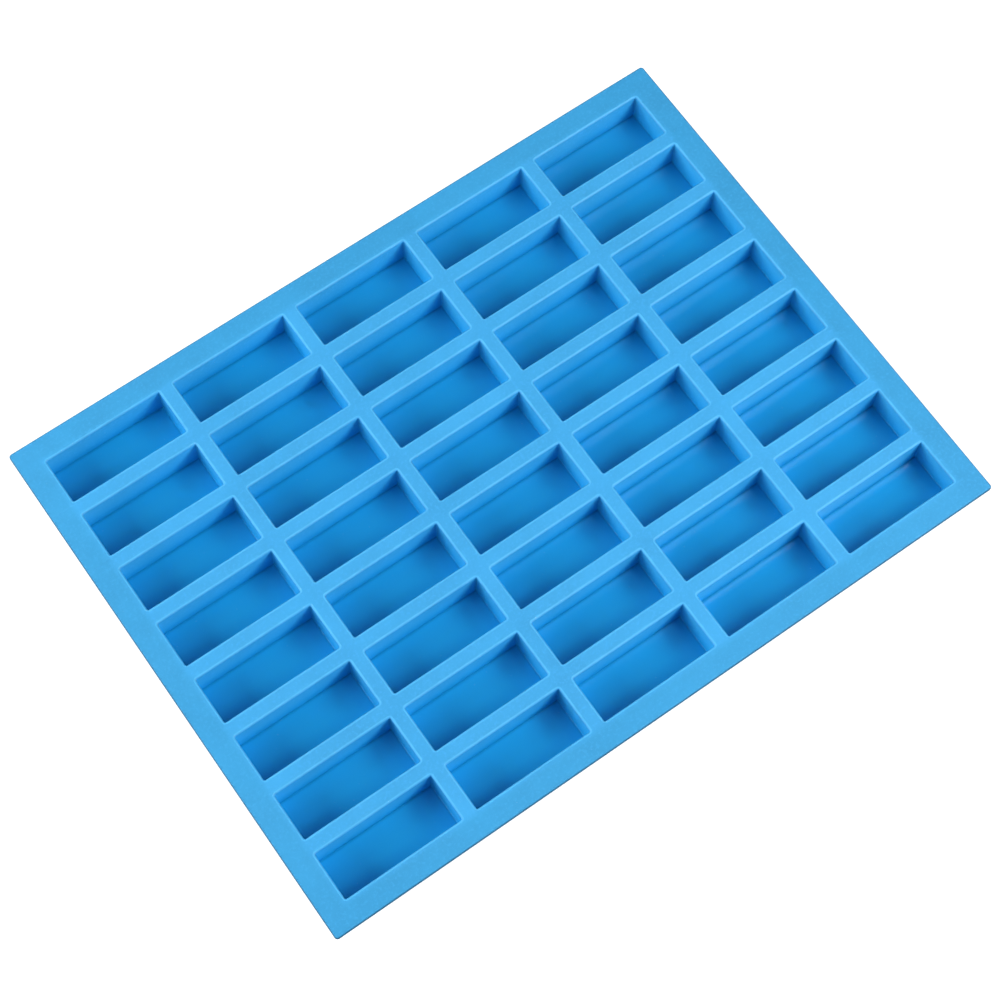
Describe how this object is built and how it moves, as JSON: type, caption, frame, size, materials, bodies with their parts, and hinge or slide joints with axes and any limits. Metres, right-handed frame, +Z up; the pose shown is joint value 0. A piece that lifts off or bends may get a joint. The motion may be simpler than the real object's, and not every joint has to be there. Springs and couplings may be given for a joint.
{
  "type": "silicone soap mould",
  "caption": "Thin, flexible silicone mould: a flat deck with a grid of open rectangular cavities for small soap bars, each a thin cup hanging below the deck, with bending webs between rows.",
  "frame": {"origin": "centre of the plane that the cups stand on", "axes": "+X along the rows of cavities, the long way of the deck and of each bar; +Y across the rows, from row 1 to row 8; +Z up, out of the cavities' mouths"},
  "size_m": [0.338, 0.2538, 0.017],
  "materials": {
    "deck": "matte",
    "cavity": "satin"
  },
  "bodies": {
    "row_1": {"deck_row_1": "deck", "cavity_cup_1_1": "cavity", "cavity_cup_1_2": "cavity", "cavity_cup_1_3": "cavity", "cavity_cup_1_4": "cavity", "cavity_cup_1_5": "cavity"},
    "row_2": {"deck_row_2": "deck", "cavity_cup_2_1": "cavity", "cavity_cup_2_2": "cavity", "cavity_cup_2_3": "cavity", "cavity_cup_2_4": "cavity", "cavity_cup_2_5": "cavity", "flex_web_1_2": "deck"},
    "row_3": {"deck_row_3": "deck", "cavity_cup_3_1": "cavity", "cavity_cup_3_2": "cavity", "cavity_cup_3_3": "cavity", "cavity_cup_3_4": "cavity", "cavity_cup_3_5": "cavity", "flex_web_2_3": "deck"},
    "row_4": {"deck_row_4": "deck", "cavity_cup_4_1": "cavity", "cavity_cup_4_2": "cavity", "cavity_cup_4_3": "cavity", "cavity_cup_4_4": "cavity", "cavity_cup_4_5": "cavity", "flex_web_3_4": "deck", "flex_web_4_5": "deck"},
    "row_5": {"deck_row_5": "deck", "cavity_cup_5_1": "cavity", "cavity_cup_5_2": "cavity", "cavity_cup_5_3": "cavity", "cavity_cup_5_4": "cavity", "cavity_cup_5_5": "cavity", "flex_web_5_6": "deck"},
    "row_6": {"deck_row_6": "deck", "cavity_cup_6_1": "cavity", "cavity_cup_6_2": "cavity", "cavity_cup_6_3": "cavity", "cavity_cup_6_4": "cavity", "cavity_cup_6_5": "cavity", "flex_web_6_7": "deck"},
    "row_7": {"deck_row_7": "deck", "cavity_cup_7_1": "cavity", "cavity_cup_7_2": "cavity", "cavity_cup_7_3": "cavity", "cavity_cup_7_4": "cavity", "cavity_cup_7_5": "cavity", "flex_web_7_8": "deck"},
    "row_8": {"deck_row_8": "deck", "cavity_cup_8_1": "cavity", "cavity_cup_8_2": "cavity", "cavity_cup_8_3": "cavity", "cavity_cup_8_4": "cavity", "cavity_cup_8_5": "cavity"}
  },
  "joints": [
    {"name": "flex_4_5", "type": "hinge", "parent": "row_4", "child": "row_5", "pos_m": [0, 0, 0.01588], "axis": [1, 0, 0], "range_deg": [-15, 40], "stiffness_Nm_per_rad": 0.11, "deforming": ["flex_web_4_5"]},
    {"name": "flex_5_6", "type": "hinge", "parent": "row_5", "child": "row_6", "pos_m": [0, 0.02975, 0.01588], "axis": [1, 0, 0], "range_deg": [-15, 40], "stiffness_Nm_per_rad": 0.11, "deforming": ["flex_web_5_6"]},
    {"name": "flex_6_7", "type": "hinge", "parent": "row_6", "child": "row_7", "pos_m": [0, 0.0595, 0.01588], "axis": [1, 0, 0], "range_deg": [-15, 40], "stiffness_Nm_per_rad": 0.11, "deforming": ["flex_web_6_7"]},
    {"name": "flex_7_8", "type": "hinge", "parent": "row_7", "child": "row_8", "pos_m": [0, 0.08925, 0.01588], "axis": [1, 0, 0], "range_deg": [-15, 40], "stiffness_Nm_per_rad": 0.11, "deforming": ["flex_web_7_8"]},
    {"name": "flex_3_4", "type": "hinge", "parent": "row_4", "child": "row_3", "pos_m": [0, -0.02975, 0.01588], "axis": [-1, 0, 0], "range_deg": [-15, 40], "stiffness_Nm_per_rad": 0.11, "deforming": ["flex_web_3_4"]},
    {"name": "flex_2_3", "type": "hinge", "parent": "row_3", "child": "row_2", "pos_m": [0, -0.0595, 0.01588], "axis": [-1, 0, 0], "range_deg": [-15, 40], "stiffness_Nm_per_rad": 0.11, "deforming": ["flex_web_2_3"]},
    {"name": "flex_1_2", "type": "hinge", "parent": "row_2", "child": "row_1", "pos_m": [0, -0.08925, 0.01588], "axis": [-1, 0, 0], "range_deg": [-15, 40], "stiffness_Nm_per_rad": 0.11, "deforming": ["flex_web_1_2"]}
  ]
}
